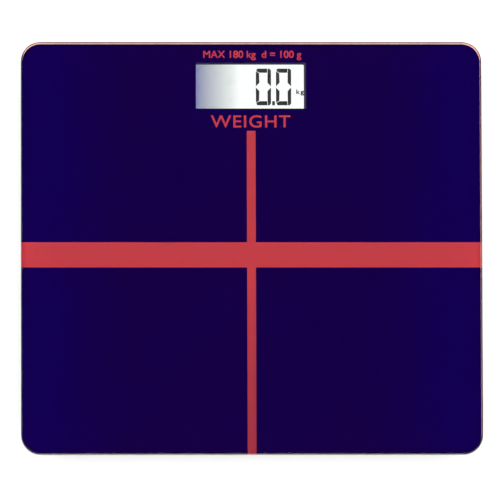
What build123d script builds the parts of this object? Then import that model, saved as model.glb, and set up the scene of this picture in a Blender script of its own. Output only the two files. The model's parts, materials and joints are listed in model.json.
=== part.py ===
from build123d import *
import os
from itertools import product

# A digital personal scale: a toughened glass platform on a moulded base with four load-cell feet.
# Millimetres, +Z up. The origin is on the floor, under the middle of the platform. +Y points to the
# display end, away from the person, and +X to their right.

# ---- Platform: glass, print and tape ----
PLATFORM_W, PLATFORM_D = 310.0, 280.0
GLASS_T = 6.0
CORNER_R = 13.2
GLASS_EDGE_R = 1.0
HEIGHT = 25.0
PRINT_T = 0.2
PRINT_MARGIN = 1.0
TAPE_T = 1.0
TAPE_LAND = 10.0
TAPE_CORNER_R = 2.0

WINDOW_W, WINDOW_D = 74.2, 31.3
WINDOW_Y = 110.85
WINDOW_R = 0.6
RED_BAR_W = 5.9
RED_BAR_TOP_Y = 80.0
RED_BAND_D = 17.1
RED_BAND_Y = -4.3

# ---- Base tray ----
TRAY_INSET = 5.0
TRAY_Z0 = 4.5
TRAY_R = 9.0
TRAY_SKIRT_R = 3.0
FLOOR_T = 2.2
WALL_T = 2.2
RIB_T = 1.6
RIM_RIB_R = 3.0
RIM_RIB_STEPS = (-3, -2, -1, 0, 1, 2, 3)
SIDE_RIB_PITCH, END_RIB_PITCH = 20.0, 24.0
FLOOR_RIB_XS = (-56.0, 0.0, 56.0)
FLOOR_RIB_YS = (-72.0, -36.0, 0.0)
FLOOR_RIB_END_Y = 24.0
DISPLAY_BAY_W = 100.0
DISPLAY_BAY_Y0 = 82.0

# ---- Feet, wells and load cells ----
FOOT_X, FOOT_Y = 112.0, 97.0
FOOT_R = 19.0
FOOT_TRAVEL = 0.5
FOOT_CLEAR = 0.4
FOOT_WALL = 1.8
FOOT_SKIRT_R = 0.7
FOOT_DISH_TOP = 3.0
FOOT_RIB_TOP = 5.6
FOOT_STEM_R = 5.0
LIP_T, LIP_REACH, LIP_ROOT, LIP_CLEAR = 0.9, 1.3, 0.5, 0.05
FOOT_RING_IN, FOOT_RING_OUT, FOOT_RING_T = 1.4, 3.4, 0.6
PAD_R, PAD_T, PAD_PROUD = 16.0, 1.6, 0.8
PAD_BEVEL = 0.35
GRIP_RING_RADII, GRIP_RING_HALF, GRIP_RING_DEPTH = (6.0, 11.0), 0.6, 0.3
WELL_R, WELL_WALL = 24.5, 2.0
WELL_ROOF_T = 2.0
WELL_OPENING_R = 12.5
COLLAR_IN, COLLAR_OUT = 13.0, 15.0
SPOKE_IN, SPOKE_OUT = 14.0, 25.5
CELL_SIDE, CELL_T, CELL_Z0, CELL_R = 34.0, 1.5, 11.0, 4.0
TONGUE_HALF, SLOT_OUT = 7.6, 10.0
SLOT_END_Y, CROSS_SLOT_Y, ARM_END_Y = -11.0, -8.6, 10.0
SEALANT_W, SEALANT_D, SEALANT_T, SEALANT_Y = 9.0, 5.6, 0.8, 7.0
SEALANT_R, SEALANT_EDGE_R = 1.5, 0.5
RETAINER_T, RETAINER_IN, RETAINER_CLEAR = 1.6, 13.0, 0.3
RETAINER_SCREW_X = 20.5
RETAINER_HOLE_R = 1.4
RETAINER_HEAD_R, RETAINER_SHANK_R, RETAINER_HEAD_T = 2.2, 1.2, 0.8
BOSS_R, BOSS_TOP = 2.6, 1.0
RETAINER_SCREW_TOP = 1.5

# ---- Display and board ----
DISPLAY_X, DISPLAY_Y = -1.0, 110.2
LCD_W, LCD_D, LCD_T = 79.0, 36.8, 2.2
LCD_TOP = 16.2
FILM_T = 0.2
LCD_LEDGE = 1.0
BEZEL_WINDOW_W, BEZEL_WINDOW_D = 73.2, 30.6
BEZEL_LIP_TOP = 17.4
BEZEL_WALL = 1.6
BEZEL_FIT = 0.2
BEZEL_R, BEZEL_WINDOW_R, BEZEL_POCKET_R = 2.0, 0.8, 0.6
GASKET_CLEAR = 1.5
EAR_X, EAR_Y, EAR_END, EAR_HALF, EAR_T = 44.0, 16.5, 46.6, 2.9, 2.0
POST_R, POST_BORE_R, POST_BORE_FLOOR = 3.2, 1.3, 0.8
DISPLAY_SCREW_HOLE_R = 1.5
DISPLAY_HEAD_R, DISPLAY_SHANK_R, DISPLAY_HEAD_T = 2.4, 1.3, 1.2
BOARD_W, BOARD_T, BOARD_Z0 = 93.6, 1.6, 10.0
BOARD_MARGIN_Y = 5.4
BOARD_EDGE_Y = 1.8
GUIDE_HALF_D, GUIDE_END = 15.6, 3.2
LAMP_NEAR, LAMP_FAR, LAMP_HALF, LAMP_DROP = 3.0, 0.8, 1.8, 0.2
LAMP_YS = (-9.0, 0.0, 9.0)
ZEBRA_HALF_W, ZEBRA_IN, ZEBRA_OUT = 33.0, 16.2, 18.2
BLOB_X, BLOB_R, BLOB_FLATTEN = -12.0, 6.0, 0.22
CHIP_X, CHIP_Y, CHIP_PITCH_X, CHIP_PITCH_Y = 2.0, 97.0, 4.0, 5.0
CHIP_L, CHIP_W, CHIP_T = 2.0, 1.25, 0.8
CHIP_ROWS, CHIP_COLUMNS = 2, 5

# ---- Screws' driver cross ----
CROSS_HALF = 0.25
CROSS_REACH, CROSS_DEPTH, HEAD_ROUND = 0.6, 0.5, 0.45

# ---- Batteries and their bay ----
BATTERY_R, BATTERY_L, NUB_R, NUB_L = 5.25, 43.5, 1.9, 0.8
BATTERY_EDGE_R = 0.5
BAY_Y = 50.0
BAY_W, BAY_D = 53.0, 23.2
BAY_WALL = 1.6
BAY_ROOF_Z, BAY_ROOF_T = 17.2, 1.2
BAY_R, BAY_ROOM_R, REBATE_R = 1.0, 0.8, 0.5
CELL_PITCH = 11.2
BATTERY_Z = 11.75
CONTACT_T, CONTACT_HALF, LINK_HALF_D = 0.4, 4.0, 9.6
SPRING_WIRE_R, SPRING_R, SPRING_TURNS = 0.3, 3.0, 4

DOOR_W, DOOR_D, DOOR_T = 59.0, 30.0, 1.4
DOOR_GAP = 0.3
DOOR_PIN_R, DOOR_PIN_L = 0.55, 1.4
PIN_CLEAR, PIN_END_CLEAR, REBATE_CLEAR = 0.05, 0.4, 0.1
TONGUE_SLOT_IN, TONGUE_SLOT_OUT, TONGUE_L = 7.0, 8.0, 9.0
LATCH_HALF, LATCH_LOW, LATCH_HIGH, LATCH_CLEAR = 4.0, 0.2, 0.9, 0.1
GRIP_COUNT, GRIP_PITCH, GRIP_FIRST = 4, 1.5, 2.2
GRIP_HALF_L, GRIP_HALF_W, GRIP_DEPTH = 5.0, 0.35, 0.3
SCOOP_R, SCOOP_WIDTH, SCOOP_DEPTH, SCOOP_AHEAD = 7.5, 0.8, 0.17, 1.0

# ---- Unit button and its switch ----
BUTTON_X, BUTTON_Y, BUTTON_R = 30.0, 106.0, 4.5
BUTTON_TRAVEL = 0.4
BUTTON_CLEAR, BUTTON_EDGE_R = 0.2, 0.6
BUTTON_FLANGE, BUTTON_FLANGE_LIFT = 1.7, 0.05
BUTTON_DISH, BUTTON_DISH_DEPTH = 4.0, 0.5
SWITCH_SIDE, SWITCH_T = 6.2, 2.0
SWITCH_STANDOFF = 0.6
SWITCH_BORE_R, SWITCH_BORE_DEPTH = 1.75, 1.5
PLUNGER_R, PLUNGER_DEPTH = 1.6, 0.9

# ---- Leads ----
WIRE_R = 0.55
WIRE_PITCH = 1.6
WIRE_ROOM = 0.7
WIRE_LANDING = 1.2
CELL_LEAD_Y = 9.0
CELL_LEAD_BEND = 6.0
FRONT_LANE_X, FRONT_TURN_Y, FRONT_LANDING_X = 78.0, 76.0, 39.0
BATTERY_LEAD_BEND = 3.9
RED_LANE, BLACK_LANE = 4.5, 7.0

# ---- Levels and places worked out from them ----
PAST = 1.0
GLASS_Z0 = HEIGHT - GLASS_T
PRINT_Z0 = GLASS_Z0 - PRINT_T
TRAY_TOP = PRINT_Z0 - TAPE_T
FLOOR_TOP = TRAY_Z0 + FLOOR_T
TRAY_W, TRAY_D = PLATFORM_W - 2 * TRAY_INSET, PLATFORM_D - 2 * TRAY_INSET
CELL_TOP = CELL_Z0 + CELL_T
RETAINER_Z0 = CELL_Z0 - RETAINER_T
BOARD_TOP = BOARD_Z0 + BOARD_T
LCD_Z0 = LCD_TOP - LCD_T
BOARD_FRONT_Y = DISPLAY_Y - LCD_D / 2 - BOARD_EDGE_Y - BOARD_MARGIN_Y
BOARD_BACK_Y = DISPLAY_Y + LCD_D / 2 + BOARD_EDGE_Y
DOOR_FAR_Y = BAY_Y + DOOR_D / 2
DOOR_HINGE_Y = BAY_Y - DOOR_D / 2 + DOOR_T / 2
DOOR_HINGE_Z = TRAY_Z0 + DOOR_T / 2
SWITCH_Z0 = BOARD_Z0 - SWITCH_T
BUTTON_TOP = SWITCH_Z0 - SWITCH_STANDOFF
WIRE_Z = BOARD_TOP + WIRE_R
LIP_Z0 = FLOOR_TOP + FOOT_TRAVEL + LIP_CLEAR
LIP_TOP = LIP_Z0 + LIP_T
SIDES = (-1, 1)
FOOT_PLACES = {
    "front_left": (-FOOT_X, -FOOT_Y),
    "front_right": (FOOT_X, -FOOT_Y),
    "rear_left": (-FOOT_X, FOOT_Y),
    "rear_right": (FOOT_X, FOOT_Y),
}
DISPLAY_SCREWS = [(DISPLAY_X + sx * EAR_X, DISPLAY_Y + sy * EAR_Y) for sx, sy in product(SIDES, SIDES)]


# ---- Small helpers ----
def slab(w, d, z0, z1, r, x=0.0, y=0.0):
    """A rounded rectangle from z0 to z1, centred at x, y."""
    return Pos(x, y, z0) * extrude(RectangleRounded(w, d, r), z1 - z0)


def block(x0, x1, y0, y1, z0, z1):
    """A plain box between two corners, given in any order."""
    middle = Pos((x0 + x1) / 2, (y0 + y1) / 2, (z0 + z1) / 2)
    return middle * Box(abs(x1 - x0), abs(y1 - y0), abs(z1 - z0))


def disc(x, y, r, z0, z1):
    """An upright cylinder."""
    return Pos(x, y, (z0 + z1) / 2) * Cylinder(r, abs(z1 - z0))


def tube(x, y, outer, inner, z0, z1):
    """An upright tube."""
    return disc(x, y, outer, z0, z1) - disc(x, y, inner, z0 - PAST, z1 + PAST)


def rod(x0, x1, y, z, r):
    """A cylinder along X."""
    return Pos((x0 + x1) / 2, y, z) * Rot(0, 90, 0) * Cylinder(r, abs(x1 - x0))


def save(name, shape):
    """Write one node's solids to its STEP file."""
    solids = shape.solids()
    made = solids[0] if len(solids) == 1 else Compound(children=list(solids))
    made.label = name
    export_step(made, f"parts/{name}.step")
    print(f"{name}: {len(solids)} solid(s), {sum(s.volume for s in solids):.1f} mm3")


# ---- Platform: glass, its print and the tape under it ----
def glass_platform():
    """The toughened glass plate, with rounded corners and rounded arrises on its ground edge."""
    plate = slab(PLATFORM_W, PLATFORM_D, GLASS_Z0, HEIGHT, CORNER_R)
    rims = plate.faces().sort_by(Axis.Z)
    return fillet(rims[0].edges() + rims[-1].edges(), GLASS_EDGE_R)


def print_outline():
    """All of the printed area, before the window and the cross are taken out."""
    w, d = PLATFORM_W - 2 * PRINT_MARGIN, PLATFORM_D - 2 * PRINT_MARGIN
    return slab(w, d, PRINT_Z0, GLASS_Z0, CORNER_R - PRINT_MARGIN)


def red_cross_print():
    """The red cross: a band across the platform and a bar from the front edge to the display."""
    half_w, half_d = PLATFORM_W / 2, PLATFORM_D / 2
    band_y0 = RED_BAND_Y - RED_BAND_D / 2
    band = block(-half_w, half_w, band_y0, band_y0 + RED_BAND_D, PRINT_Z0, GLASS_Z0)
    bar = block(-RED_BAR_W / 2, RED_BAR_W / 2, -half_d, RED_BAR_TOP_Y, PRINT_Z0, GLASS_Z0)
    return (band + bar) & print_outline()


def blue_print_coat():
    """The dark blue coat over the rest of the underside, with the display window left clear."""
    window = slab(WINDOW_W, WINDOW_D, PRINT_Z0 - PAST, GLASS_Z0 + PAST, WINDOW_R, 0, WINDOW_Y)
    return print_outline() - red_cross_print() - window


def foam_tape():
    """Double-sided foam: a frame on the base's rim, broken at the display, and a ring on each foot well."""
    low, high = TRAY_TOP - PAST, PRINT_Z0 + PAST
    frame = slab(TRAY_W, TRAY_D, TRAY_TOP, PRINT_Z0, TRAY_R)
    frame -= slab(TRAY_W - 2 * TAPE_LAND, TRAY_D - 2 * TAPE_LAND, low, high, TAPE_CORNER_R)
    frame -= block(-DISPLAY_BAY_W / 2, DISPLAY_BAY_W / 2, DISPLAY_BAY_Y0, PLATFORM_D, low, high)
    pieces = []
    for x, y in FOOT_PLACES.values():
        frame -= disc(x, y, WELL_R + WELL_WALL, low, high)
        pieces.append(tube(x, y, WELL_R + WELL_WALL, COLLAR_IN, TRAY_TOP, PRINT_Z0).solid())
    return Compound(children=list(frame.solids()) + pieces)


# ---- Wiring routes, which the base's ribs leave room for ----
def wire_lanes():
    """Each lead's colour, route and bend: three from every load cell, and two from the batteries."""
    lanes = []
    landing_y = BOARD_FRONT_Y + WIRE_LANDING
    for sx, (index, colour) in product(SIDES, enumerate(("red", "white", "black"))):
        offset = (index - 1) * WIRE_PITCH
        cell_edge = sx * (FOOT_X - CELL_SIDE / 2)
        rear_y = FOOT_Y + CELL_LEAD_Y + offset
        board_edge = DISPLAY_X + sx * (BOARD_W / 2 - WIRE_LANDING)
        lanes.append((colour, [(cell_edge, rear_y), (board_edge, rear_y)], CELL_LEAD_BEND))
        front_y = -FOOT_Y + CELL_LEAD_Y + offset
        lane_x = sx * (FRONT_LANE_X + offset)
        turn_y = FRONT_TURN_Y + offset
        land_x = sx * (FRONT_LANDING_X + offset)
        route = [(cell_edge, front_y), (lane_x, front_y), (lane_x, turn_y)]
        route += [(land_x, turn_y), (land_x, landing_y)]
        lanes.append((colour, route, CELL_LEAD_BEND))
    for colour, sy, lane in (("red", 1, RED_LANE), ("black", -1, BLACK_LANE)):
        y = BAY_Y + sy * CELL_PITCH / 2
        lane_x = BAY_W / 2 + lane
        lanes.append((colour, [(BAY_W / 2, y), (lane_x, y), (lane_x, landing_y)], BATTERY_LEAD_BEND))
    return lanes


def wire(points, bend):
    """One insulated lead, lying level, with an easy arc at each turn."""
    places = [Vector(x, y, WIRE_Z) for x, y in points]
    path = Line(*places) if len(places) == 2 else FilletPolyline(*places, radius=bend)
    return sweep(Plane(path @ 0, z_dir=path % 0) * Circle(WIRE_R), path=path)


def wires(colour):
    """All the leads of one colour."""
    made = [wire(route, bend) for name, route, bend in wire_lanes() if name == colour]
    return Compound(children=[w.solid() for w in made])


def wire_channels():
    """The room that each lead takes in the ribs, a little larger than the lead."""
    room = WIRE_R + WIRE_ROOM
    channels = []
    for _, route, _ in wire_lanes():
        for (x0, y0), (x1, y1) in zip(route, route[1:]):
            low_x, high_x = min(x0, x1) - room, max(x0, x1) + room
            low_y, high_y = min(y0, y1) - room, max(y0, y1) + room
            channels.append(block(low_x, high_x, low_y, high_y, WIRE_Z - room, WIRE_Z + room))
    return channels


# ---- Base tray ----
def tray_shell():
    """The outer skin: floor and wall, with a rounded skirt."""
    shell = slab(TRAY_W, TRAY_D, TRAY_Z0, TRAY_TOP, TRAY_R)
    shell = fillet(shell.faces().sort_by(Axis.Z)[0].edges(), TRAY_SKIRT_R)
    inner_w, inner_d = TRAY_W - 2 * WALL_T, TRAY_D - 2 * WALL_T
    return shell - slab(inner_w, inner_d, FLOOR_TOP, TRAY_TOP + PAST, TRAY_R - WALL_T)


def tray_ribs():
    """The inner rim that carries the tape, its short cross ribs, and the long ribs of the floor."""
    low, high = FLOOR_TOP, TRAY_TOP
    half_t = RIB_T / 2
    rim_w, rim_d = TRAY_W - 2 * (TAPE_LAND - RIB_T), TRAY_D - 2 * (TAPE_LAND - RIB_T)
    rim_hollow = slab(rim_w - 2 * RIB_T, rim_d - 2 * RIB_T, low - PAST, high + PAST, RIM_RIB_R - RIB_T)
    ribs = [slab(rim_w, rim_d, low, high, RIM_RIB_R) - rim_hollow]
    wall_x, wall_y = TRAY_W / 2 - WALL_T, TRAY_D / 2 - WALL_T
    rim_x, rim_y = rim_w / 2, rim_d / 2
    for side, step in product(SIDES, RIM_RIB_STEPS):
        y, x = step * SIDE_RIB_PITCH, step * END_RIB_PITCH
        ribs.append(block(side * rim_x, side * wall_x, y - half_t, y + half_t, low, high))
        ribs.append(block(x - half_t, x + half_t, side * rim_y, side * wall_y, low, high))
    for y in FLOOR_RIB_YS:
        ribs.append(block(-rim_x, rim_x, y - half_t, y + half_t, low, high))
    for x in FLOOR_RIB_XS:
        ribs.append(block(x - half_t, x + half_t, -rim_y, FLOOR_RIB_END_Y, low, high))
    return ribs


def tray_wells():
    """A round well over each foot: a wall, a roof that bears on the load cell, and ribs up to the glass."""
    roof_top = CELL_TOP + WELL_ROOF_T
    outer = WELL_R + WELL_WALL
    half_t = RIB_T / 2
    pieces = []
    for x, y in FOOT_PLACES.values():
        pieces.append(tube(x, y, outer, WELL_R, FLOOR_TOP, TRAY_TOP))
        pieces.append(tube(x, y, outer - WELL_WALL / 4, WELL_OPENING_R, CELL_TOP, roof_top))
        pieces.append(tube(x, y, COLLAR_OUT, COLLAR_IN, roof_top, TRAY_TOP))
        for side in SIDES:
            near, far = side * SPOKE_IN, side * SPOKE_OUT
            pieces.append(block(x + near, x + far, y - half_t, y + half_t, roof_top, TRAY_TOP))
            pieces.append(block(x - half_t, x + half_t, y + near, y + far, roof_top, TRAY_TOP))
            pieces.append(disc(x + side * RETAINER_SCREW_X, y, BOSS_R, CELL_Z0, CELL_TOP + BOSS_TOP))
    return pieces


def tray_well_cuts():
    """What is taken out again at each foot: the floor's hole for the foot, and the screw holes."""
    cuts = []
    for x, y in FOOT_PLACES.values():
        cuts.append(disc(x, y, FOOT_R + FOOT_CLEAR, TRAY_Z0 - PAST, FLOOR_TOP + PAST))
        for side in SIDES:
            screw_x = x + side * RETAINER_SCREW_X
            cuts.append(disc(screw_x, y, RETAINER_SHANK_R, RETAINER_Z0, CELL_TOP + RETAINER_SCREW_TOP))
    return cuts


def tray_bay_walls():
    """The battery bay's walls and roof, as one solid block."""
    return slab(BAY_W + 2 * BAY_WALL, BAY_D + 2 * BAY_WALL, FLOOR_TOP, BAY_ROOF_Z + BAY_ROOF_T, BAY_R, 0, BAY_Y)


def tray_bay_cuts():
    """The battery room, the door's rebate and pin sockets, and the finger scoop."""
    room = slab(BAY_W, BAY_D, TRAY_Z0 - PAST, BAY_ROOF_Z, BAY_ROOM_R, 0, BAY_Y)
    rebate_top = TRAY_Z0 + DOOR_T + REBATE_CLEAR
    rebate = slab(DOOR_W + 2 * DOOR_GAP, DOOR_D + 2 * DOOR_GAP, TRAY_Z0 - PAST, rebate_top, REBATE_R, 0, BAY_Y)
    reach = DOOR_W / 2 + DOOR_PIN_L + PIN_END_CLEAR
    sockets = rod(-reach, reach, DOOR_HINGE_Y, DOOR_HINGE_Z, DOOR_PIN_R + PIN_CLEAR)
    scoop = Pos(0, DOOR_FAR_Y + SCOOP_AHEAD, TRAY_Z0) * scale(Sphere(SCOOP_R), (1.0, SCOOP_WIDTH, SCOOP_DEPTH))
    return [room, rebate, sockets, scoop]


def base_tray():
    """The moulded base: skin, ribs, foot wells, battery bay, display posts and button guide."""
    half_bay = DISPLAY_BAY_W / 2
    display_bay = block(-half_bay, half_bay, DISPLAY_BAY_Y0, TRAY_D / 2 - WALL_T, FLOOR_TOP, HEIGHT)
    well_rooms = [disc(x, y, WELL_R, FLOOR_TOP, HEIGHT) for x, y in FOOT_PLACES.values()]
    ribs = (Part() + tray_ribs()) - [display_bay] - well_rooms
    tray = tray_shell() + ribs.solids() + tray_wells() + tray_bay_walls()
    tray = tray - wire_channels() - tray_well_cuts() - tray_bay_cuts()
    for x, y in DISPLAY_SCREWS:
        tray += disc(x, y, POST_R, FLOOR_TOP, BOARD_Z0)
        tray -= disc(x, y, POST_BORE_R, FLOOR_TOP + POST_BORE_FLOOR, BOARD_Z0 + PAST)
    for x, y in FOOT_PLACES.values():
        tray += tube(x, y, FOOT_R + FOOT_RING_OUT, FOOT_R + FOOT_RING_IN, TRAY_Z0 - FOOT_RING_T, TRAY_Z0)
    tray -= disc(BUTTON_X, BUTTON_Y, BUTTON_R + BUTTON_CLEAR, TRAY_Z0 - PAST, FLOOR_TOP + PAST)
    return tray - disc(BUTTON_X, BUTTON_Y, BUTTON_R + BUTTON_DISH, TRAY_Z0 - PAST, TRAY_Z0 + BUTTON_DISH_DEPTH)


# ---- Display ----
def display_frame(outset, z0, z1, corner_r):
    """A rounded slab round the display, larger than its glass by the same amount on every side."""
    return slab(LCD_W + 2 * outset, LCD_D + 2 * outset, z0, z1, corner_r, DISPLAY_X, DISPLAY_Y)


def display_opening(outset, z0, z1, corner_r):
    """The bezel's window, made larger by the same amount on every side."""
    w, d = BEZEL_WINDOW_W + 2 * outset, BEZEL_WINDOW_D + 2 * outset
    return slab(w, d, z0, z1, corner_r, DISPLAY_X, DISPLAY_Y)


def window_gasket():
    """The dark foam frame between the bezel and the print, which keeps dust off the display."""
    hole = display_opening(GASKET_CLEAR, BEZEL_LIP_TOP - PAST, PRINT_Z0 + PAST, BEZEL_WINDOW_R)
    return display_frame(BEZEL_WALL, BEZEL_LIP_TOP, PRINT_Z0, BEZEL_R) - hole


def display_bezel():
    """The frame that holds the display on the board, with a screw ear at each corner."""
    frame = display_frame(BEZEL_FIT + BEZEL_WALL, BOARD_TOP, BEZEL_LIP_TOP, BEZEL_R)
    ear_root = LCD_W / 2 + BEZEL_FIT + BEZEL_WALL - PAST
    for sx, sy in product(SIDES, SIDES):
        ear_y = DISPLAY_Y + sy * EAR_Y
        near, far = DISPLAY_X + sx * ear_root, DISPLAY_X + sx * EAR_END
        frame += block(near, far, ear_y - EAR_HALF, ear_y + EAR_HALF, BOARD_TOP, BOARD_TOP + EAR_T)
    for x, y in DISPLAY_SCREWS:
        frame -= disc(x, y, DISPLAY_SCREW_HOLE_R, BOARD_TOP - PAST, BOARD_TOP + EAR_T + PAST)
    frame -= display_frame(BEZEL_FIT, BOARD_TOP - PAST, LCD_TOP, BEZEL_POCKET_R)
    return frame - display_opening(0, BOARD_TOP, BEZEL_LIP_TOP + PAST, BEZEL_WINDOW_R)


def display_plate(z0, z1, ledge=0.0):
    """A plate of the display's stack, set back from its front and rear edges by a ledge."""
    half_w, half_d = LCD_W / 2, LCD_D / 2 - ledge
    return block(DISPLAY_X - half_w, DISPLAY_X + half_w, DISPLAY_Y - half_d, DISPLAY_Y + half_d, z0, z1)


def lcd_cell():
    """The liquid-crystal glass: a back plate, and a front plate that leaves its contact ledges clear."""
    middle = (LCD_Z0 + LCD_TOP) / 2
    return display_plate(LCD_Z0, middle) + display_plate(middle, LCD_TOP - FILM_T, LCD_LEDGE)


def lcd_polarizer():
    """The polarising film on the front."""
    return display_plate(LCD_TOP - FILM_T, LCD_TOP, LCD_LEDGE)


def backlight_panel():
    """The clear light guide behind the display."""
    x0, x1 = DISPLAY_X - LCD_W / 2, DISPLAY_X + LCD_W / 2 - GUIDE_END
    return block(x0, x1, DISPLAY_Y - GUIDE_HALF_D, DISPLAY_Y + GUIDE_HALF_D, BOARD_TOP, LCD_Z0)


def backlight_leds():
    """Three side-firing lamps at the light guide's right end."""
    x0, x1 = DISPLAY_X + LCD_W / 2 - LAMP_NEAR, DISPLAY_X + LCD_W / 2 - LAMP_FAR
    lamps = []
    for offset in LAMP_YS:
        y = DISPLAY_Y + offset
        lamps.append(block(x0, x1, y - LAMP_HALF, y + LAMP_HALF, BOARD_TOP, LCD_Z0 - LAMP_DROP).solid())
    return Compound(children=lamps)


def zebra_strips():
    """The rubber connectors that carry the board's contacts up to the display's ledges."""
    x0, x1 = DISPLAY_X - ZEBRA_HALF_W, DISPLAY_X + ZEBRA_HALF_W
    strips = []
    for side in SIDES:
        near, far = DISPLAY_Y + side * ZEBRA_IN, DISPLAY_Y + side * ZEBRA_OUT
        strips.append(block(x0, x1, near, far, BOARD_TOP, LCD_Z0).solid())
    return Compound(children=strips)


def circuit_board():
    """The board under the display, with its screw holes."""
    x0, x1 = DISPLAY_X - BOARD_W / 2, DISPLAY_X + BOARD_W / 2
    board = block(x0, x1, BOARD_FRONT_Y, BOARD_BACK_Y, BOARD_Z0, BOARD_TOP)
    for x, y in DISPLAY_SCREWS:
        board -= disc(x, y, DISPLAY_SCREW_HOLE_R, BOARD_Z0 - PAST, BOARD_TOP + PAST)
    return board


def controller_blob():
    """The epoxy dome over the controller chip, on the board's underside."""
    dome = Pos(BLOB_X, DISPLAY_Y, BOARD_Z0) * scale(Sphere(BLOB_R), (1.0, 1.0, BLOB_FLATTEN))
    reach = 2 * BLOB_R
    below = block(BLOB_X - reach, BLOB_X + reach, DISPLAY_Y - reach, DISPLAY_Y + reach, FLOOR_TOP, BOARD_Z0)
    return dome & below


def board_components():
    """Small resistors and capacitors on the board's underside."""
    parts = []
    for row, column in product(range(CHIP_ROWS), range(CHIP_COLUMNS)):
        x, y = CHIP_X + column * CHIP_PITCH_X, CHIP_Y + row * CHIP_PITCH_Y
        parts.append(block(x, x + CHIP_L, y, y + CHIP_W, BOARD_Z0 - CHIP_T, BOARD_Z0).solid())
    return Compound(children=parts)


def screw(x, y, head_z, tip_z, head_r, shank_r, head_t):
    """A pan-head screw whose head lies beyond head_z, away from its tip, with a cross recess."""
    up = 1 if head_z > tip_z else -1
    head_top = head_z + up * head_t
    head = disc(x, y, head_r, head_z, head_top)
    head = fillet(head.edges().sort_by(Axis.Z)[-1 if up > 0 else 0], head_t * HEAD_ROUND)
    cut_z, past_z = head_top - up * head_t * CROSS_DEPTH, head_top + up * PAST
    reach = head_r * CROSS_REACH
    head -= block(x - reach, x + reach, y - CROSS_HALF, y + CROSS_HALF, cut_z, past_z)
    head -= block(x - CROSS_HALF, x + CROSS_HALF, y - reach, y + reach, cut_z, past_z)
    return (head + disc(x, y, shank_r, head_z, tip_z)).solid()


def display_screws():
    """Four screws through the bezel and the board into the base's posts."""
    head_z, tip_z = BOARD_TOP + EAR_T, FLOOR_TOP + POST_BORE_FLOOR
    sizes = (DISPLAY_HEAD_R, DISPLAY_SHANK_R, DISPLAY_HEAD_T)
    return Compound(children=[screw(x, y, head_z, tip_z, *sizes) for x, y in DISPLAY_SCREWS])


# ---- Unit button ----
def unit_button():
    """The button under the scale that changes the unit, held in its hole by a flange."""
    cap = disc(BUTTON_X, BUTTON_Y, BUTTON_R, TRAY_Z0 + BUTTON_TRAVEL, BUTTON_TOP)
    cap = fillet(cap.edges().sort_by(Axis.Z)[0], BUTTON_EDGE_R)
    return cap + disc(BUTTON_X, BUTTON_Y, BUTTON_R + BUTTON_FLANGE, FLOOR_TOP + BUTTON_FLANGE_LIFT, BUTTON_TOP)


def switch_body():
    """The small push switch on the board's underside."""
    half = SWITCH_SIDE / 2
    body = block(BUTTON_X - half, BUTTON_X + half, BUTTON_Y - half, BUTTON_Y + half, SWITCH_Z0, BOARD_Z0)
    return body - disc(BUTTON_X, BUTTON_Y, SWITCH_BORE_R, SWITCH_Z0 - PAST, SWITCH_Z0 + SWITCH_BORE_DEPTH)


def switch_plunger():
    """The switch's own plunger, which the button pushes."""
    return disc(BUTTON_X, BUTTON_Y, PLUNGER_R, BUTTON_TOP, SWITCH_Z0 + PLUNGER_DEPTH)


# ---- Batteries, contacts and door ----
def battery(sign):
    """One AAA cell. Its positive nub points to +X where sign is 1, and to -X where sign is -1."""
    y = BAY_Y + sign * CELL_PITCH / 2
    nub_end = BAY_W / 2 - CONTACT_T
    can_end = nub_end - NUB_L
    can = rod(sign * can_end, sign * (can_end - BATTERY_L), y, BATTERY_Z, BATTERY_R)
    can = fillet(can.edges().filter_by(GeomType.CIRCLE), BATTERY_EDGE_R)
    return can + rod(sign * can_end, sign * nub_end, y, BATTERY_Z, NUB_R)


def battery_springs():
    """The two coil springs on the cells' negative ends."""
    free = BAY_W - 2 * CONTACT_T - NUB_L - BATTERY_L
    height = free - 2 * SPRING_WIRE_R
    coil = Helix(pitch=height / SPRING_TURNS, height=height, radius=SPRING_R)
    made = sweep(Plane(coil @ 0, z_dir=coil % 0) * Circle(SPRING_WIRE_R), path=coil, is_frenet=True)
    springs = []
    for sign in SIDES:
        x = sign * (BAY_W / 2 - CONTACT_T - SPRING_WIRE_R)
        y = BAY_Y - sign * CELL_PITCH / 2
        springs.append((Pos(x, y, BATTERY_Z) * Rot(0, -sign * 90, 0) * made).solid())
    return Compound(children=springs)


def contact_plate(x0, x1, y, half_d):
    """A flat contact plate against the bay's end wall."""
    return block(x0, x1, y - half_d, y + half_d, BATTERY_Z - CONTACT_HALF, BATTERY_Z + CONTACT_HALF)


def battery_link_plate():
    """The contact plate at the left end, which joins the two cells."""
    return contact_plate(-BAY_W / 2, CONTACT_T - BAY_W / 2, BAY_Y, LINK_HALF_D)


def battery_end_plates():
    """The two separate contact plates at the right end."""
    plates = []
    for sign in SIDES:
        y = BAY_Y + sign * CELL_PITCH / 2
        plates.append(contact_plate(BAY_W / 2 - CONTACT_T, BAY_W / 2, y, CONTACT_HALF).solid())
    return Compound(children=plates)


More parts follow.
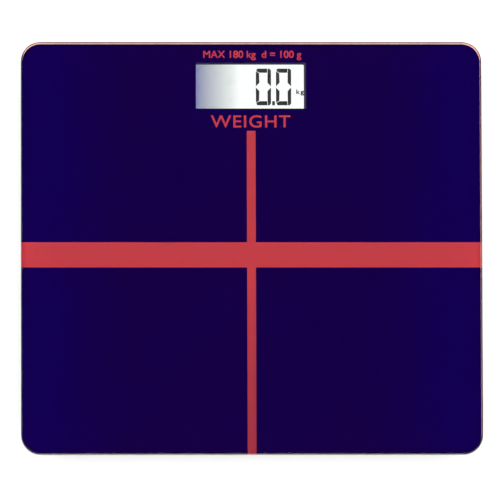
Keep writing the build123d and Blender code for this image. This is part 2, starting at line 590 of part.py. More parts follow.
def battery_door():
    """The door under the batteries: a flush panel on two pins, with a springy latch tongue."""
    half_w = DOOR_W / 2
    panel = block(-half_w, half_w, DOOR_HINGE_Y, DOOR_FAR_Y, TRAY_Z0, TRAY_Z0 + DOOR_T)
    panel += rod(-half_w, half_w, DOOR_HINGE_Y, DOOR_HINGE_Z, DOOR_T / 2)
    pin_end = half_w + DOOR_PIN_L
    panel += rod(-pin_end, pin_end, DOOR_HINGE_Y, DOOR_HINGE_Z, DOOR_PIN_R)
    for side in SIDES:
        near, far = side * TONGUE_SLOT_IN, side * TONGUE_SLOT_OUT
        panel -= block(near, far, DOOR_FAR_Y - TONGUE_L, DOOR_FAR_Y + PAST, TRAY_Z0 - PAST, HEIGHT)
    latch_y = DOOR_FAR_Y + DOOR_GAP - LATCH_CLEAR
    panel += block(-LATCH_HALF, LATCH_HALF, DOOR_FAR_Y, latch_y, TRAY_Z0 + LATCH_LOW, TRAY_Z0 + LATCH_HIGH)
    for step in range(GRIP_COUNT):
        y = DOOR_FAR_Y - GRIP_FIRST - step * GRIP_PITCH
        low_y, high_y = y - GRIP_HALF_W, y + GRIP_HALF_W
        panel -= block(-GRIP_HALF_L, GRIP_HALF_L, low_y, high_y, TRAY_Z0 - PAST, TRAY_Z0 + GRIP_DEPTH)
    return panel


# ---- Feet and load cells ----
def foot_cup(x, y):
    """A foot's cup: a dish for the pad, a wall whose lip catches on the floor, a centre stem and ribs."""
    cup = disc(x, y, FOOT_R, PAD_PROUD, LIP_TOP)
    cup = fillet(cup.edges().sort_by(Axis.Z)[0], FOOT_SKIRT_R)
    cup -= disc(x, y, FOOT_R - FOOT_WALL, FOOT_DISH_TOP, LIP_TOP + PAST)
    cup += tube(x, y, FOOT_R + LIP_REACH, FOOT_R - LIP_ROOT, LIP_Z0, LIP_TOP)
    cup += disc(x, y, FOOT_STEM_R, FOOT_DISH_TOP, CELL_Z0)
    rib = Box(2 * (FOOT_R - FOOT_WALL / 2), RIB_T, FOOT_RIB_TOP - FOOT_DISH_TOP)
    for turn in (45, 135):
        cup += Pos(x, y, (FOOT_DISH_TOP + FOOT_RIB_TOP) / 2) * Rot(0, 0, turn) * rib
    return cup - disc(x, y, PAD_R, 0, PAD_T)


def foot_pad(x, y):
    """A foot's rubber pad, with a bevelled rim and two shallow grip rings."""
    pad = disc(x, y, PAD_R, 0, PAD_T)
    pad = chamfer(pad.edges().sort_by(Axis.Z)[0], PAD_BEVEL)
    for r in GRIP_RING_RADII:
        pad -= tube(x, y, r + GRIP_RING_HALF, r - GRIP_RING_HALF, -PAST, GRIP_RING_DEPTH)
    return pad


def load_cell(x, y):
    """A steel load cell: a square frame with a centre tongue that the foot's stem pushes."""
    plate = slab(CELL_SIDE, CELL_SIDE, CELL_Z0, CELL_TOP, CELL_R, x, y)
    low, high = CELL_Z0 - PAST, CELL_TOP + PAST
    plate -= block(x - SLOT_OUT, x + SLOT_OUT, y + SLOT_END_Y, y + CROSS_SLOT_Y, low, high)
    for side in SIDES:
        near, far = x + side * TONGUE_HALF, x + side * SLOT_OUT
        plate -= block(near, far, y + SLOT_END_Y, y + ARM_END_Y, low, high)
    return plate


def gauge_sealant():
    """The white sealant over each load cell's strain gauge."""
    dabs = []
    for x, y in FOOT_PLACES.values():
        dab = slab(SEALANT_W, SEALANT_D, CELL_TOP, CELL_TOP + SEALANT_T, SEALANT_R, x, y + SEALANT_Y)
        dabs.append(fillet(dab.faces().sort_by(Axis.Z)[-1].edges(), SEALANT_EDGE_R).solid())
    return Compound(children=dabs)


def load_cell_retainers():
    """The rings that hold the load cells up against the well roofs."""
    rings = []
    for x, y in FOOT_PLACES.values():
        ring = tube(x, y, WELL_R - RETAINER_CLEAR, RETAINER_IN, RETAINER_Z0, CELL_Z0)
        for side in SIDES:
            screw_x = x + side * RETAINER_SCREW_X
            ring -= disc(screw_x, y, RETAINER_HOLE_R, RETAINER_Z0 - PAST, CELL_Z0 + PAST)
        rings.append(ring.solid())
    return Compound(children=rings)


def retainer_screws():
    """Two small screws for each retaining ring."""
    tip_z = CELL_TOP + RETAINER_SCREW_TOP
    sizes = (RETAINER_HEAD_R, RETAINER_SHANK_R, RETAINER_HEAD_T)
    made = []
    for (x, y), side in product(FOOT_PLACES.values(), SIDES):
        made.append(screw(x + side * RETAINER_SCREW_X, y, RETAINER_Z0, tip_z, *sizes))
    return Compound(children=made)


def all_parts():
    """Every node's name and shape."""
    parts = {
        "glass_platform": glass_platform(),
        "blue_print_coat": blue_print_coat(),
        "red_cross_print": red_cross_print(),
        "foam_tape": foam_tape(),
        "base_tray": base_tray(),
        "window_gasket": window_gasket(),
        "display_bezel": display_bezel(),
        "lcd_polarizer": lcd_polarizer(),
        "lcd_cell": lcd_cell(),
        "backlight_panel": backlight_panel(),
        "backlight_leds": backlight_leds(),
        "zebra_strips": zebra_strips(),
        "circuit_board": circuit_board(),
        "controller_blob": controller_blob(),
        "board_components": board_components(),
        "display_screws": display_screws(),
        "unit_button": unit_button(),
        "switch_body": switch_body(),
        "switch_plunger": switch_plunger(),
        "battery_upper": battery(1),
        "battery_lower": battery(-1),
        "battery_springs": battery_springs(),
        "battery_link_plate": battery_link_plate(),
        "battery_end_plates": battery_end_plates(),
        "battery_door": battery_door(),
        "gauge_sealant": gauge_sealant(),
        "load_cell_retainers": load_cell_retainers(),
        "retainer_screws": retainer_screws(),
        "red_wires": wires("red"),
        "white_wires": wires("white"),
        "black_wires": wires("black"),
    }
    for place, (x, y) in FOOT_PLACES.items():
        parts[f"foot_cup_{place}"] = foot_cup(x, y)
        parts[f"foot_pad_{place}"] = foot_pad(x, y)
        parts[f"load_cell_{place}"] = load_cell(x, y)
    return parts


os.makedirs("parts", exist_ok=True)
for node, shape in all_parts().items():
    save(node, shape)
print(f"foot travel {FOOT_TRAVEL} mm, button travel {BUTTON_TRAVEL} mm")
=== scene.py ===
# %% [markdown]
# # A digital personal scale
#
# A personal scale is a sheet of toughened glass with a slim moulded base under it. What a person sees is
# almost all glass: the colour is ink on its underside, seen through 6 mm of glass, and that depth is what
# makes it look like a scale and not a painted board. So this lesson spends most of its care on three
# things: the glass and its edge, the ink under it, and the small lit display.
#
# The mechanical design is loaded first, as a fixed frame. New pieces take their places from it.

# %% Load the frame
import json
import math
import bmesh
import bpy
from mathutils import Matrix, Vector


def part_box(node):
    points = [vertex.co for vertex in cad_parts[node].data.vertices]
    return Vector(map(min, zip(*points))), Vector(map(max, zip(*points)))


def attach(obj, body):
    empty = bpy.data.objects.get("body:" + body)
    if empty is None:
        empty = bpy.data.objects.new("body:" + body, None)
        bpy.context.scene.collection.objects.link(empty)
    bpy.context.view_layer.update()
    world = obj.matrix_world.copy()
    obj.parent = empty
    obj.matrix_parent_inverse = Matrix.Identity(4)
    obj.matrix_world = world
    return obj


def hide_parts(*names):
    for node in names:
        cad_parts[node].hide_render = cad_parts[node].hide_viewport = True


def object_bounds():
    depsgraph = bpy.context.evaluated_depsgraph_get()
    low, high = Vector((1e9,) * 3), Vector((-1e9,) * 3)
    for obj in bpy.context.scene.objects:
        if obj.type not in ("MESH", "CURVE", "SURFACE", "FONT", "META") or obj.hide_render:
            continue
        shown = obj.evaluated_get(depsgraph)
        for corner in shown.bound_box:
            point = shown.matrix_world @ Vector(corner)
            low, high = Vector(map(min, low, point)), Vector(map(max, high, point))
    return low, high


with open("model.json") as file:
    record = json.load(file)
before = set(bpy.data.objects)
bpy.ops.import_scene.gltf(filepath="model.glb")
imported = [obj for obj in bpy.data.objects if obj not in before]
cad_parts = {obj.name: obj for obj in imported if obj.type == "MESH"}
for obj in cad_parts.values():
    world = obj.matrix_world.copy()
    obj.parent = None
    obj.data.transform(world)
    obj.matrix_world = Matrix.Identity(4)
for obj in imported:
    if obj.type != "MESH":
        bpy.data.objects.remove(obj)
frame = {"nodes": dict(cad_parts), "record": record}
cad_low, cad_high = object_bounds()
MM = 0.001
print("nodes:", len(frame["nodes"]), "size:", [round(v, 4) for v in cad_high - cad_low])

# %% [markdown]
# Places are read from the frame: the glass's box gives the platform, and the coat of ink gives the level
# of the print. A box says nothing about roundings, or about the holes and stripes inside one node, so
# those few sizes are given here, and they repeat the design's own. Only the bond is new: it is
# how far the ink's top stands inside the glass.

# %% Places worked out from the frame
glass_low, glass_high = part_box("glass_platform")
ink_low, ink_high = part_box("blue_print_coat")
lcd_low, lcd_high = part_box("lcd_polarizer")
lcd_middle = (lcd_low + lcd_high) / 2
CORNER_R = 13.2 * MM
RIM_R = 1.0 * MM
INK_BOND = 0.02 * MM
WINDOW_W, WINDOW_D, WINDOW_Y = 74.2 * MM, 31.3 * MM, 110.85 * MM
BAR_W, BAR_TOP = 5.9 * MM, 80.0 * MM
BAND_D, BAND_Y = 17.1 * MM, -4.3 * MM
ink_top = glass_low.z + INK_BOND

# %% [markdown]
# ## Small helpers
#
# A piece always ends the same way: its mesh gets a material, and it rides on a body of the design.
# One helper does that, so no piece can be left behind.

# %% Turn a bmesh into a finished piece
def finish_piece(name, bm, material, body="platform", smooth=False):
    bmesh.ops.recalc_face_normals(bm, faces=bm.faces)
    for face in bm.faces:
        face.smooth = smooth
    mesh = bpy.data.meshes.new(name)
    bm.to_mesh(mesh)
    bm.free()
    mesh.materials.append(material)
    piece = bpy.data.objects.new(name, mesh)
    bpy.context.collection.objects.link(piece)
    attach(piece, body)
    print(name, "faces:", len(mesh.polygons))
    return piece


# %% A flat rounded rectangle
def rounded_sheet(width, depth, radius, z, x=0.0, y=0.0, segments=16):
    bm = bmesh.new()
    bmesh.ops.create_grid(bm, x_segments=1, y_segments=1, size=0.5)
    bmesh.ops.scale(bm, vec=(width, depth, 1), verts=bm.verts)
    bmesh.ops.bevel(bm, geom=bm.verts[:], offset=radius, offset_type="OFFSET", segments=segments,
                    profile=0.5, affect="VERTICES", material=-1)
    bmesh.ops.translate(bm, vec=(x, y, z), verts=bm.verts)
    return bm


# %% Give a flat sheet its thickness, downwards
def thicken_down(bm, thickness):
    bmesh.ops.recalc_face_normals(bm, faces=bm.faces)
    grown = bmesh.ops.extrude_face_region(bm, geom=bm.faces[:])
    moved = [v for v in grown["geom"] if isinstance(v, bmesh.types.BMVert)]
    bmesh.ops.translate(bm, vec=(0, 0, -thickness), verts=moved)


# %% [markdown]
# ## Finishes
#
# Nothing real is one flat colour. Each finish below starts from the Principled shader and adds what the
# real surface shows: ink that was screened on unevenly, plastic with the grain of its mould, rubber that
# is dull in patches, steel with fine lines. The patterns read Object coordinates, so they stay fixed to
# the piece when it moves.

# %% A new finish and its pattern source
def new_finish(name, colour, roughness, metallic=0.0, **sockets):
    material = bpy.data.materials.new(name)
    material.use_nodes = True
    shader = material.node_tree.nodes["Principled BSDF"]
    shader.inputs["Base Color"].default_value = (*colour, 1.0)
    shader.inputs["Roughness"].default_value = roughness
    shader.inputs["Metallic"].default_value = metallic
    for socket, value in sockets.items():
        shader.inputs[socket.replace("_", " ")].default_value = value
    return material, shader


def noise_on_object(material, scale, detail=4.0, stretch=(1, 1, 1)):
    nodes, links = material.node_tree.nodes, material.node_tree.links
    place = nodes.new("ShaderNodeTexCoord")
    mapping = nodes.new("ShaderNodeMapping")
    mapping.inputs["Scale"].default_value = stretch
    noise = nodes.new("ShaderNodeTexNoise")
    noise.inputs["Scale"].default_value = scale
    noise.inputs["Detail"].default_value = detail
    links.new(place.outputs["Object"], mapping.inputs["Vector"])
    links.new(mapping.outputs["Vector"], noise.inputs["Vector"])
    return noise


# %% A ramp of colours
def ramp_through(tree, value, stops):
    ramp = tree.nodes.new("ShaderNodeValToRGB")
    points = ramp.color_ramp.elements
    points[0].position, points[0].color = stops[0][0], (*stops[0][1], 1.0)
    points[1].position, points[1].color = stops[-1][0], (*stops[-1][1], 1.0)
    for position, colour in stops[1:-1]:
        points.new(position).color = (*colour, 1.0)
    tree.links.new(value, ramp.inputs["Fac"])
    return ramp.outputs["Color"]


# %% Vary a finish's roughness, colour and surface height
def vary_roughness(material, shader, low, high, scale, stretch=(1, 1, 1)):
    noise = noise_on_object(material, scale, stretch=stretch)
    spread = material.node_tree.nodes.new("ShaderNodeMapRange")
    spread.inputs["From Min"].default_value = 0.3
    spread.inputs["From Max"].default_value = 0.7
    spread.inputs["To Min"].default_value = low
    spread.inputs["To Max"].default_value = high
    material.node_tree.links.new(noise.outputs["Fac"], spread.inputs["Value"])
    material.node_tree.links.new(spread.outputs["Result"], shader.inputs["Roughness"])


def vary_colour(material, shader, dark, light, scale, stretch=(1, 1, 1)):
    noise = noise_on_object(material, scale, stretch=stretch)
    colour = ramp_through(material.node_tree, noise.outputs["Fac"], [(0.35, dark), (0.65, light)])
    material.node_tree.links.new(colour, shader.inputs["Base Color"])


def raise_grain(material, shader, scale, strength, distance=0.00005, stretch=(1, 1, 1)):
    noise = noise_on_object(material, scale, stretch=stretch)
    bump = material.node_tree.nodes.new("ShaderNodeBump")
    bump.inputs["Strength"].default_value = strength
    bump.inputs["Distance"].default_value = distance
    material.node_tree.links.new(noise.outputs["Fac"], bump.inputs["Height"])
    material.node_tree.links.new(bump.outputs["Normal"], shader.inputs["Normal"])


# %% [markdown]
# The inks and the lit panel change colour gradually from place to place. A painted picture on a UV map
# could give that. Three small steps do it here, with numbers that are easy to change: take one coordinate
# of the piece, stretch a part of it to run from 0 to 1, and let the ramp turn it into colours. On the inks,
# a little noise before the ramp keeps the change from looking drawn with a ruler.

# %% Colour by place on the piece
def object_axes(material):
    place = material.node_tree.nodes.new("ShaderNodeTexCoord")
    split = material.node_tree.nodes.new("ShaderNodeSeparateXYZ")
    material.node_tree.links.new(place.outputs["Object"], split.inputs["Vector"])
    return split.outputs


def run_between(material, value, start, end):
    run = material.node_tree.nodes.new("ShaderNodeMapRange")
    run.inputs["From Min"].default_value = start
    run.inputs["From Max"].default_value = end
    material.node_tree.links.new(value, run.inputs["Value"])
    return run.outputs["Result"]


def add_drift(material, value, scale, share):
    noise = noise_on_object(material, scale)
    drift = material.node_tree.nodes.new("ShaderNodeMath")
    drift.operation = "MULTIPLY_ADD"
    drift.inputs[1].default_value = share
    material.node_tree.links.new(noise.outputs["Fac"], drift.inputs[0])
    material.node_tree.links.new(value, drift.inputs[2])
    return drift.outputs["Value"]


# %% [markdown]
# ### The platform's glass
#
# The large faces are polished, so the print under them stays crisp: only a trace of roughness is allowed,
# as from handling. The rim was ground round and then polished again. It carries a warm, cream tint, and
# it bends the view so that a bright line shows on the far sides and a dark one on the near sides.

# %% Glass
def platform_glass_finish():
    material, shader = new_finish("platform_glass", (0.97, 0.99, 0.98), 0.0, IOR=1.52,
                                  Transmission_Weight=1.0)
    vary_roughness(material, shader, 0.0, 0.012, 9)
    return material


def ground_rim_finish():
    material, shader = new_finish("ground_rim", (0.72, 0.22, 0.155), 0.0, IOR=1.52,
                                  Transmission_Weight=1.0)
    vary_roughness(material, shader, 0.02, 0.10, 240)
    return material


# %% [markdown]
# ### The inks
#
# The blue is very dark. It is even over the middle of the platform, where it leans to violet. Towards the
# left and right sides it is painted a little brighter and bluer: a painted reflection of the room in the
# glass, not a change of the ink. The red is a warm, slightly dull red, and deepens down the bar towards
# the front edge. Both were screened on, so their density drifts a little from place to place. Ink that is
# bonded to glass has no gloss of its own, so its specular level is nothing: the only gloss is the glass's.

# %% Blue ink
# From the middle out to the sides the blue is painted brighter and bluer: a painted reflection of the room
# in the glass.
BLUE_EVEN_TO, BLUE_REFLECTION_FROM = 85 * MM, 148 * MM


def blue_ink_finish():
    dark, light = (0.0098, 0.0004, 0.070), (0.0078, 0.0004, 0.098)
    material, shader = new_finish("blue_ink", dark, 0.45, Specular_IOR_Level=0.0)
    tree = material.node_tree
    side = tree.nodes.new("ShaderNodeMath")
    side.operation = "ABSOLUTE"
    tree.links.new(object_axes(material)["X"], side.inputs[0])
    # Painted reflection: the colour runs from the dark blue to the lighter blue towards the left and right
    # sides.
    run = run_between(material, side.outputs["Value"], BLUE_EVEN_TO, BLUE_REFLECTION_FROM)
    drift = add_drift(material, run, 14, 0.5)
    tree.links.new(ramp_through(tree, drift, [(0.2, dark), (1.0, light)]), shader.inputs["Base Color"])
    return material


# %% Red ink
RED_DEEP_Y, RED_FULL_Y = -140 * MM, -15 * MM


def red_ink_finish():
    deep, full = (0.392, 0.040, 0.069), (0.630, 0.062, 0.079)
    material, shader = new_finish("red_ink", full, 0.5, Specular_IOR_Level=0.0)
    tree = material.node_tree
    run = run_between(material, object_axes(material)["Y"], RED_DEEP_Y, RED_FULL_Y)
    drift = add_drift(material, run, 18, 0.15)
    tree.links.new(ramp_through(tree, drift, [(0.05, deep), (1.0, full)]), shader.inputs["Base Color"])
    return material


# %% [markdown]
# ### Plastics, rubber and metals
#
# The moulded parts share one recipe with different numbers: a fine grain from the mould's spark-eroded
# surface, and a roughness that drifts. Metals are drawn or stamped, so their grain is stretched.

# %% Moulded and metal finishes
def moulded_finish(name, colour, roughness, grain_scale=2600, grain=0.35):
    material, shader = new_finish(name, colour, roughness)
    lighter = tuple(min(1.0, c * 1.07 + 0.001) for c in colour)
    vary_colour(material, shader, colour, lighter, 60)
    vary_roughness(material, shader, roughness - 0.05, roughness + 0.05, 140)
    raise_grain(material, shader, grain_scale, grain)
    return material


def metal_finish(name, colour, roughness):
    material, shader = new_finish(name, colour, roughness, metallic=1.0)
    vary_roughness(material, shader, roughness - 0.08, roughness + 0.08, 700, stretch=(0.08, 1, 1))
    raise_grain(material, shader, 1600, 0.15, stretch=(0.05, 1, 1))
    return material


def clear_finish(name, colour, roughness):
    material, shader = new_finish(name, colour, roughness, IOR=1.49, Transmission_Weight=0.85)
    vary_roughness(material, shader, roughness, roughness + 0.06, 30)
    return material


# %% Every finish, by the slot that uses it
FINISHES = {
    "platform_glass": platform_glass_finish(),
    "blue_ink": blue_ink_finish(),
    "red_ink": red_ink_finish(),
    "foam": moulded_finish("foam", (0.018, 0.018, 0.020), 0.92, 900, 0.8),
    "tray_plastic": moulded_finish("tray_plastic", (0.022, 0.022, 0.025), 0.5),
    "bezel_plastic": moulded_finish("bezel_plastic", (0.040, 0.036, 0.068), 0.55),
    "lcd_glass": clear_finish("lcd_glass", (0.80, 0.82, 0.80), 0.05),
    "light_guide": clear_finish("light_guide", (0.92, 0.93, 0.95), 0.1),
    "lamp": clear_finish("lamp", (0.95, 0.90, 0.55), 0.15),
    "connector_rubber": moulded_finish("connector_rubber", (0.30, 0.09, 0.16), 0.7, 1200, 0.5),
    "board": moulded_finish("board", (0.012, 0.075, 0.030), 0.35, 1800, 0.2),
    "epoxy": moulded_finish("epoxy", (0.010, 0.010, 0.011), 0.18, 400, 0.1),
    "component": moulded_finish("component", (0.10, 0.07, 0.045), 0.4),
    "screw_steel": metal_finish("screw_steel", (0.56, 0.56, 0.58), 0.3),
    "cell_steel": metal_finish("cell_steel", (0.50, 0.51, 0.53), 0.33),
    "contact_steel": metal_finish("contact_steel", (0.62, 0.62, 0.60), 0.25),
    "sealant": moulded_finish("sealant", (0.72, 0.72, 0.70), 0.6, 500, 0.5),
    "battery_case": metal_finish("battery_case", (0.08, 0.09, 0.11), 0.35),
    "button_plastic": moulded_finish("button_plastic", (0.11, 0.11, 0.12), 0.55),
    "pad_rubber": moulded_finish("pad_rubber", (0.020, 0.020, 0.022), 0.82, 1500, 0.7),
    "red_insulation": moulded_finish("red_insulation", (0.35, 0.015, 0.015), 0.35),
    "white_insulation": moulded_finish("white_insulation", (0.72, 0.72, 0.71), 0.35),
    "black_insulation": moulded_finish("black_insulation", (0.012, 0.012, 0.012), 0.35),
}
print("finishes:", len(FINISHES))

# %% Dress every node of the design in its finish
for row in frame["record"]["subparts"]:
    node = frame["nodes"][row["node"]]
    node.data.materials.clear()
    node.data.materials.append(FINISHES[row["material_slot"]])

# %% [markdown]
# ## The glass plate
#
# The plate starts as a box the size of the frame's. Beveling its four upright edges rounds the corners,
# and beveling the rims after that gives the ground, rounded edge that keeps bare feet safe. The order
# matters: the rim's bevel has to follow the rounded corner. The large faces stay flat-shaded, so the
# reflection in them is a mirror's, and the rounded strips are smooth.

# %% Make the plate
def glass_plate():
    bm = bmesh.new()
    bmesh.ops.create_cube(bm, size=1.0)
    size, middle = glass_high - glass_low, (glass_high + glass_low) / 2
    bmesh.ops.scale(bm, vec=size, verts=bm.verts)
    bmesh.ops.translate(bm, vec=middle, verts=bm.verts)
    uprights = [e for e in bm.edges if abs(e.verts[0].co.z - e.verts[1].co.z) > size.z / 2]
    bmesh.ops.bevel(bm, geom=uprights, offset=CORNER_R, offset_type="OFFSET", segments=24,
                    profile=0.5, affect="EDGES", material=-1)
    rims = [e for e in bm.edges if abs(e.verts[0].co.z - e.verts[1].co.z) < 1e-7]
    bmesh.ops.bevel(bm, geom=rims, offset=RIM_R, offset_type="OFFSET", segments=8,
                    profile=0.5, affect="EDGES", material=-1)
    piece = finish_piece("glass_plate", bm, FINISHES["platform_glass"], smooth=True)
    piece.data.materials.append(ground_rim_finish())
    for face in piece.data.polygons:
        on_rim = abs(face.normal.z) < 0.999
        face.use_smooth = on_rim
        face.material_index = int(on_rim)
    return piece


plate = glass_plate()
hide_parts("glass_platform")

# %% [markdown]
# ## The print
#
# Both inks are cut from one rounded sheet, so they meet exactly. The sheet is sliced along the edges of
# the band, the bar and the window, and each colour keeps its own faces. The ink's top stands two
# hundredths of a millimetre inside the glass. That makes it look bonded, with no film of air between.

# %% Slice the printed sheet and keep one colour
def in_band(point):
    return abs(point.y - BAND_Y) < BAND_D / 2


def in_bar(point):
    return abs(point.x) < BAR_W / 2 and point.y < BAR_TOP


def in_window(point):
    return abs(point.x) < WINDOW_W / 2 and abs(point.y - WINDOW_Y) < WINDOW_D / 2


def printed_sheet(keep):
    size = ink_high - ink_low
    margin = glass_high.x - ink_high.x
    bm = rounded_sheet(size.x, size.y, CORNER_R - margin, ink_top, segments=24)
    across = [BAND_Y - BAND_D / 2, BAND_Y + BAND_D / 2, BAR_TOP, WINDOW_Y - WINDOW_D / 2,
              WINDOW_Y + WINDOW_D / 2]
    along = [-WINDOW_W / 2, -BAR_W / 2, BAR_W / 2, WINDOW_W / 2]
    for y in across:
        bmesh.ops.bisect_plane(bm, geom=bm.verts[:] + bm.edges[:] + bm.faces[:], plane_co=(0, y, 0),
                               plane_no=(0, 1, 0))
    for x in along:
        bmesh.ops.bisect_plane(bm, geom=bm.verts[:] + bm.edges[:] + bm.faces[:], plane_co=(x, 0, 0),
                               plane_no=(1, 0, 0))
    unwanted = [f for f in bm.faces if not keep(f.calc_center_bounds())]
    bmesh.ops.delete(bm, geom=unwanted, context="FACES")
    bmesh.ops.dissolve_limit(bm, angle_limit=math.radians(0.5), verts=bm.verts[:], edges=bm.edges[:])
    bmesh.ops.triangulate(bm, faces=bm.faces[:])
    thicken_down(bm, ink_top - ink_low.z)
    return bm


# %% The two inks
red_sheet = printed_sheet(lambda p: in_band(p) or in_bar(p))
red_print = finish_piece("red_cross", red_sheet, FINISHES["red_ink"])
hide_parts("red_cross_print")
blue_sheet = printed_sheet(lambda p: not (in_band(p) or in_bar(p) or in_window(p)))
blue_print = finish_piece("blue_field", blue_sheet, FINISHES["blue_ink"])
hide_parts("blue_print_coat")

# %% [markdown]
# ## The printed words
#
# Ink lettering is flat and sharp, so it is made from a text curve that is turned into a mesh, not from a
# picture. Its level is a hair above the blue, where the first colour down on the screen would be. The
# words are plain ones that any scale could carry.

# %% Make letters bolder
# The curve's own Offset setting does this too, but it folds the outline over itself where a stroke turns
# sharply, and the faces there end up inside out. Moving the finished outline keeps every face the right
# way round.
def make_bolder(bm, weight):
    bmesh.ops.recalc_face_normals(bm, faces=bm.faces)
    bm.normal_update()
    for vert in bm.verts:
        outward = Vector((vert.normal.x, vert.normal.y, 0))
        vert.co += weight * outward.normalized()


# %% Lettering as thin solids
def lettering(name, words, height, width, centre, z, thickness, finish, weight, spread=1.0):
    curve = bpy.data.curves.new(name, "FONT")
    curve.body = words
    curve.align_x = "CENTER"
    curve.space_character = spread
    curve.extrude = 0.5
    temporary = bpy.data.objects.new(name + "_curve", curve)
    bpy.context.collection.objects.link(temporary)
    bpy.context.view_layer.update()
    mesh = bpy.data.meshes.new_from_object(temporary.evaluated_get(bpy.context.evaluated_depsgraph_get()))
    bpy.data.objects.remove(temporary)
    bm = bmesh.new()
    bm.from_mesh(mesh)
    bmesh.ops.remove_doubles(bm, verts=bm.verts, dist=1e-5)
    make_bolder(bm, weight)
    xs, ys = [v.co.x for v in bm.verts], [v.co.y for v in bm.verts]
    wide, tall = width / (max(xs) - min(xs)), height / max(ys)
    bmesh.ops.translate(bm, vec=(-(max(xs) + min(xs)) / 2, 0, 0), verts=bm.verts)
    bmesh.ops.scale(bm, vec=(wide, tall, thickness), verts=bm.verts)
    bmesh.ops.translate(bm, vec=(centre[0], centre[1], z), verts=bm.verts)
    return finish_piece(name, bm, finish)


LETTER_T = 0.02 * MM
LETTER_Z = ink_top + INK_BOND
CAPACITY_H, CAPACITY_W, CAPACITY_PLACE = 4.9 * MM, 66.1 * MM, (0.95 * MM, 129.8 * MM)
LABEL_H, LABEL_W, LABEL_PLACE = 8.3 * MM, 53.5 * MM, (-0.4 * MM, 82.4 * MM)
lettering("capacity_line", "MAX 180 kg  d = 100 g", CAPACITY_H, CAPACITY_W, CAPACITY_PLACE, LETTER_Z,
          LETTER_T, FINISHES["red_ink"], weight=0.022)
lettering("display_label", "WEIGHT", LABEL_H, LABEL_W, LABEL_PLACE, LETTER_Z,
          LETTER_T, FINISHES["red_ink"], weight=0.012, spread=1.1)

# %% [markdown]
# ## The lit display
#
# The display is a backlit panel, and its lamps sit at the right, so the light fades over the left two
# fifths and turns bluish there. That fade is the panel's own, so it belongs in the finish, along X. The
# digits are solid shapes a twentieth of a millimetre thick, standing on the panel.

# %% The glowing panel
GLOW_STOPS = [(0.0, (0.21, 0.21, 0.46)), (0.08, (0.38, 0.40, 0.50)), (0.21, (0.62, 0.65, 0.67)),
              (0.31, (0.82, 0.84, 0.84)), (0.40, (1.05, 1.05, 1.05))]
PANEL_CORNER_R = 0.3 * MM


def panel_finish():
    material, shader = new_finish("display_glow", (0.05, 0.05, 0.055), 0.3)
    tree = material.node_tree
    run = run_between(material, object_axes(material)["X"], -WINDOW_W / 2, WINDOW_W / 2)
    tree.links.new(ramp_through(tree, run, GLOW_STOPS), shader.inputs["Emission Color"])
    shader.inputs["Emission Strength"].default_value = 1.0
    vary_roughness(material, shader, 0.25, 0.35, 120)
    return material


panel_size = lcd_high - lcd_low
panel_bm = rounded_sheet(panel_size.x, panel_size.y, PANEL_CORNER_R, lcd_high.z, lcd_middle.x, lcd_middle.y,
                         segments=4)
thicken_down(panel_bm, panel_size.z)
panel = finish_piece("display_panel", panel_bm, panel_finish())
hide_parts("lcd_polarizer")

# %% The seven-segment digits
# Half of a 0, in millimetres about its centre: the lower half mirrors it. The strokes end in slanted
# cuts with thin gaps between them, as the electrodes of a real panel do.
ZERO_TOP = [(-4.8, 11.5), (-4.0, 12.5), (2.7, 12.5), (2.5, 9.7), (-2.7, 9.7), (-4.4, 10.6)]
ZERO_LEFT = [(-5.1, 10.9), (-4.8, 10.5), (-2.9, 9.4), (-2.7, 2.9), (-5.1, 0.4)]
ZERO_RIGHT = [(3.0, 12.5), (4.0, 12.5), (5.1, 11.3), (5.1, 0.4), (2.75, 2.9), (2.8, 9.8)]
DECIMAL_POINT = [(-0.95, -12.5), (0.95, -12.5), (0.95, -9.7), (-0.95, -9.7)]
DIGIT_PLACES, POINT_PLACE = (8.4, 21.95), 15.2
DIGIT_Y = lcd_middle.y + 0.15 * MM
SEGMENT_T = 0.05 * MM
UNIT_H, UNIT_W, UNIT_PLACE = 3.0 * MM, 5.2 * MM, (33.1 * MM, DIGIT_Y - 4.7 * MM)


def outline_face(bm, points, centre_x, flip):
    corners = []
    for x, y in points:
        place = (centre_x * MM + x * MM, DIGIT_Y + y * MM * flip, lcd_high.z + SEGMENT_T)
        corners.append(bm.verts.new(place))
    bm.faces.new(corners)


def segment_finish():
    material, shader = new_finish("display_ink", (0.014, 0.014, 0.014), 0.6)
    vary_colour(material, shader, (0.010, 0.010, 0.010), (0.020, 0.020, 0.020), 500)
    return material


digits = bmesh.new()
for centre_x in DIGIT_PLACES:
    for flip in (1, -1):
        for points in (ZERO_TOP, ZERO_LEFT, ZERO_RIGHT):
            outline_face(digits, points, centre_x, flip)
outline_face(digits, DECIMAL_POINT, POINT_PLACE, 1)
bmesh.ops.recalc_face_normals(digits, faces=digits.faces)
thicken_down(digits, SEGMENT_T)
display_ink = segment_finish()
finish_piece("display_digits", digits, display_ink)
lettering("display_unit", "kg", UNIT_H, UNIT_W, UNIT_PLACE, lcd_high.z + SEGMENT_T / 2, SEGMENT_T,
          display_ink, weight=0.035, spread=1.3)

# %% [markdown]
# ## The studio
#
# A sheet of glass shows whatever is above it. If the room above were white, it would lay a grey veil over
# the dark ink. So the light comes from a bright band part way up the walls. Straight overhead the room is
# dark, and low down it is dim, so the ink keeps its depth from the sides too. The floor is pale, and what
# the camera sees past it is a plain white backdrop.

# %% Floor
FLOOR_HALF = 6.0


def floor_finish():
    material, shader = new_finish("floor_paper", (0.93, 0.93, 0.93), 0.85)
    vary_colour(material, shader, (0.92, 0.92, 0.92), (0.94, 0.94, 0.94), 3)
    return material


floor_bm = bmesh.new()
bmesh.ops.create_grid(floor_bm, x_segments=1, y_segments=1, size=FLOOR_HALF)
floor_mesh = bpy.data.meshes.new("floor")
floor_bm.to_mesh(floor_mesh)
floor_bm.free()
floor_mesh.materials.append(floor_finish())
floor = bpy.data.objects.new("floor", floor_mesh)
bpy.context.collection.objects.link(floor)


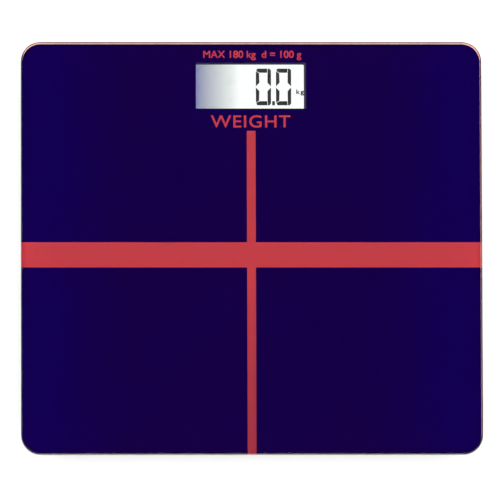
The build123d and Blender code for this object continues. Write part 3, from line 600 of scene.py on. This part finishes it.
# %% Light from a band round the room
ROOM_STOPS = [(0.0, 0.10), (0.45, 0.12), (0.60, 1.0), (0.86, 1.0), (0.93, 0.0), (1.0, 0.0)]
ROOM_STRENGTH = 3.45


def studio_world():
    world = bpy.data.worlds.new("studio")
    bpy.context.scene.world = world
    world.use_nodes = True
    tree = world.node_tree
    tree.nodes.clear()
    place = tree.nodes.new("ShaderNodeTexCoord")
    split = tree.nodes.new("ShaderNodeSeparateXYZ")
    tree.links.new(place.outputs["Generated"], split.inputs["Vector"])
    greys = [(height, (value, value, value)) for height, value in ROOM_STOPS]
    light = tree.nodes.new("ShaderNodeBackground")
    light.inputs["Strength"].default_value = ROOM_STRENGTH
    tree.links.new(ramp_through(tree, split.outputs["Z"], greys), light.inputs["Color"])
    backdrop = tree.nodes.new("ShaderNodeBackground")
    backdrop.inputs["Color"].default_value = (1.0, 1.0, 1.0, 1.0)
    path = tree.nodes.new("ShaderNodeLightPath")
    choose = tree.nodes.new("ShaderNodeMixShader")
    output = tree.nodes.new("ShaderNodeOutputWorld")
    tree.links.new(path.outputs["Is Camera Ray"], choose.inputs["Fac"])
    tree.links.new(light.outputs["Background"], choose.inputs[1])
    tree.links.new(backdrop.outputs["Background"], choose.inputs[2])
    tree.links.new(choose.outputs["Shader"], output.inputs["Surface"])
    print("room light:", ROOM_STOPS)


studio_world()
bpy.context.scene.view_settings.view_transform = "Standard"
bpy.context.scene.cycles.use_denoising = True

# %% [markdown]
# ## The camera
#
# The camera looks down almost vertically, from a little in front of the scale and a little to its left,
# through a long lens, so the platform's sides stay parallel. It stays level with the platform's edges.

# %% Camera
CAMERA_SIDE, CAMERA_HEIGHT = math.radians(8), math.radians(81.5)
CAMERA_ROLL = math.atan(math.tan(CAMERA_SIDE) * math.sin(CAMERA_HEIGHT))
CAMERA_DISTANCE, CAMERA_REACH, CAMERA_LENS = 10.0, 50.0, 1072.0
target = Vector((-1.1 * MM, -1.6 * MM, cad_high.z))
direction = Vector((-math.sin(CAMERA_SIDE) * math.cos(CAMERA_HEIGHT),
                    -math.cos(CAMERA_SIDE) * math.cos(CAMERA_HEIGHT), math.sin(CAMERA_HEIGHT)))
camera_data = bpy.data.cameras.new("camera")
camera_data.lens = CAMERA_LENS
camera_data.clip_end = CAMERA_REACH
camera = bpy.data.objects.new("camera", camera_data)
bpy.context.collection.objects.link(camera)
forward = -direction
right = forward.cross(Vector((0, 0, 1))).normalized()
up = right.cross(forward)
rolled_right = math.cos(CAMERA_ROLL) * right + math.sin(CAMERA_ROLL) * up
rolled_up = math.cos(CAMERA_ROLL) * up - math.sin(CAMERA_ROLL) * right
turn = Matrix((rolled_right, rolled_up, direction)).transposed()
camera.matrix_world = Matrix.Translation(target + CAMERA_DISTANCE * direction) @ turn.to_4x4()
bpy.context.scene.camera = camera
